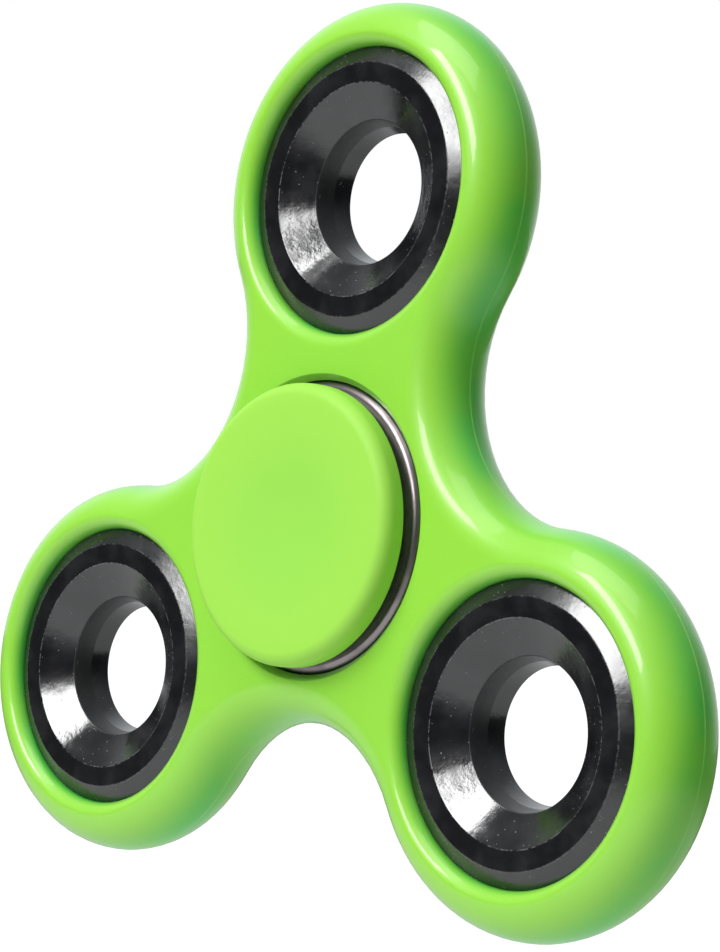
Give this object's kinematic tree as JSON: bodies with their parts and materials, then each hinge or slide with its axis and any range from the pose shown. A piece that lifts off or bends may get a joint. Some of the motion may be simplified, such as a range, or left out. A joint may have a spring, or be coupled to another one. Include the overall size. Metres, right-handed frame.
{
  "type": "fidget spinner",
  "caption": "Three-armed hand spinner: lime plastic frame with a black ring weight in each lobe and a centre ball bearing between two round finger caps.",
  "frame": {"origin": "middle of the centre bearing, half way through the thickness", "axes": "+Y along the spin axis and out of the rear face, so the front face looks towards -Y; +Z along the top arm; +X to the right seen from the front"},
  "size_m": [0.073, 0.0128, 0.0671],
  "materials": {
    "lime_plastic": "moulded lime-green plastic, semi-gloss with a fine grain",
    "lime_cap_plastic": "moulded lime-green plastic, softer sheen than the frame",
    "black_coated_steel": "glossy black coating over steel with fine orange peel, dust and scuffed edges",
    "bearing_steel": "ground bearing steel, dark and polished at the corners",
    "ball_steel": "polished bearing balls",
    "cage_steel": "pressed mild steel, lightly oiled",
    "shield_steel": "pressed steel sheet with turning marks",
    "spring_steel": "dark spring steel wire"
  },
  "bodies": {
    "grip": {"finger_cap_front": "lime_cap_plastic", "finger_cap_rear": "lime_cap_plastic", "bearing_inner_ring": "bearing_steel"},
    "spinner": {"body_frame": "lime_plastic", "counterweight_top": "black_coated_steel", "counterweight_left": "black_coated_steel", "counterweight_right": "black_coated_steel", "bearing_outer_ring": "bearing_steel", "bearing_shield_front": "shield_steel", "bearing_shield_rear": "shield_steel", "shield_clip_front": "spring_steel", "shield_clip_rear": "spring_steel"},
    "ball_cage": {"bearing_cage_front": "cage_steel", "bearing_cage_rear": "cage_steel", "cage_rivet_1": "cage_steel", "cage_rivet_2": "cage_steel", "cage_rivet_3": "cage_steel", "cage_rivet_4": "cage_steel", "cage_rivet_5": "cage_steel", "cage_rivet_6": "cage_steel", "cage_rivet_7": "cage_steel"},
    "ball_1": {"bearing_ball_1": "ball_steel"},
    "ball_2": {"bearing_ball_2": "ball_steel"},
    "ball_3": {"bearing_ball_3": "ball_steel"},
    "ball_4": {"bearing_ball_4": "ball_steel"},
    "ball_5": {"bearing_ball_5": "ball_steel"},
    "ball_6": {"bearing_ball_6": "ball_steel"},
    "ball_7": {"bearing_ball_7": "ball_steel"}
  },
  "joints": [
    {"name": "spin", "type": "hinge", "parent": "grip", "child": "spinner", "pos_m": [0, 0, 0], "axis": [0, 1, 0], "continuous": true},
    {"name": "cage_orbit", "type": "hinge", "parent": "grip", "child": "ball_cage", "pos_m": [0, 0, 0], "axis": [0, 1, 0], "continuous": true},
    {"name": "ball_1_roll", "type": "hinge", "parent": "ball_cage", "child": "ball_1", "pos_m": [0, 0, 0.0075], "axis": [0, 1, 0], "continuous": true},
    {"name": "ball_2_roll", "type": "hinge", "parent": "ball_cage", "child": "ball_2", "pos_m": [-0.00586, 0, 0.00468], "axis": [0, 1, 0], "continuous": true},
    {"name": "ball_3_roll", "type": "hinge", "parent": "ball_cage", "child": "ball_3", "pos_m": [-0.00731, 0, -0.00167], "axis": [0, 1, 0], "continuous": true},
    {"name": "ball_4_roll", "type": "hinge", "parent": "ball_cage", "child": "ball_4", "pos_m": [-0.00325, 0, -0.00676], "axis": [0, 1, 0], "continuous": true},
    {"name": "ball_5_roll", "type": "hinge", "parent": "ball_cage", "child": "ball_5", "pos_m": [0.00325, 0, -0.00676], "axis": [0, 1, 0], "continuous": true},
    {"name": "ball_6_roll", "type": "hinge", "parent": "ball_cage", "child": "ball_6", "pos_m": [0.00731, 0, -0.00167], "axis": [0, 1, 0], "continuous": true},
    {"name": "ball_7_roll", "type": "hinge", "parent": "ball_cage", "child": "ball_7", "pos_m": [0.00586, 0, 0.00468], "axis": [0, 1, 0], "continuous": true}
  ],
  "couplings": [
    {"joint": "cage_orbit", "follows": "spin", "ratio": 0.6323},
    {"joint": "ball_1_roll", "follows": "spin", "ratio": 1.7574},
    {"joint": "ball_2_roll", "follows": "spin", "ratio": 1.7574},
    {"joint": "ball_3_roll", "follows": "spin", "ratio": 1.7574},
    {"joint": "ball_4_roll", "follows": "spin", "ratio": 1.7574},
    {"joint": "ball_5_roll", "follows": "spin", "ratio": 1.7574},
    {"joint": "ball_6_roll", "follows": "spin", "ratio": 1.7574},
    {"joint": "ball_7_roll", "follows": "spin", "ratio": 1.7574}
  ]
}
